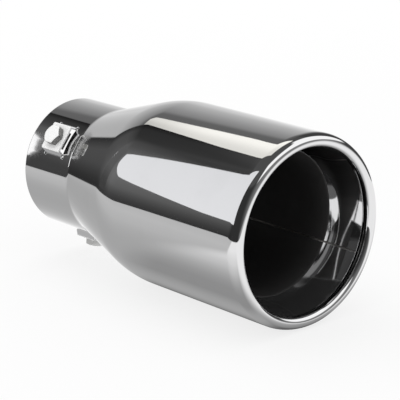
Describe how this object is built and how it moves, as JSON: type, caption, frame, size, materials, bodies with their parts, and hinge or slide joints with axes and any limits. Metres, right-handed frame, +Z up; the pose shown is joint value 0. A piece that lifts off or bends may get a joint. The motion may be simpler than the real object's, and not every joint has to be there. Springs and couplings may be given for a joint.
{
  "type": "exhaust tip",
  "caption": "Round polished steel exhaust tip with a rolled lip, a flared inner tube and a slip-on inlet clamped by screws.",
  "frame": {"origin": "centre of the inlet's open end, on the tube's axis", "axes": "+X along the tube towards the mouth, +Z up; the first clamp points up and towards -Y"},
  "size_m": [0.187, 0.1, 0.1],
  "materials": {
    "polished_shell": "mirror-polished stainless steel",
    "polished_tube": "stainless steel, polished on the neck and dull dark inside",
    "clamp_nuts": "zinc-plated steel",
    "clamp_screws": "bright zinc-plated steel"
  },
  "bodies": {
    "root": {"outer_shell": "polished_shell", "inlet_tube": "polished_tube", "clamp_nut_1": "clamp_nuts", "clamp_nut_2": "clamp_nuts", "clamp_nut_3": "clamp_nuts", "clamp_screw_1": "clamp_screws", "clamp_screw_2": "clamp_screws", "clamp_screw_3": "clamp_screws"}
  },
  "joints": []
}
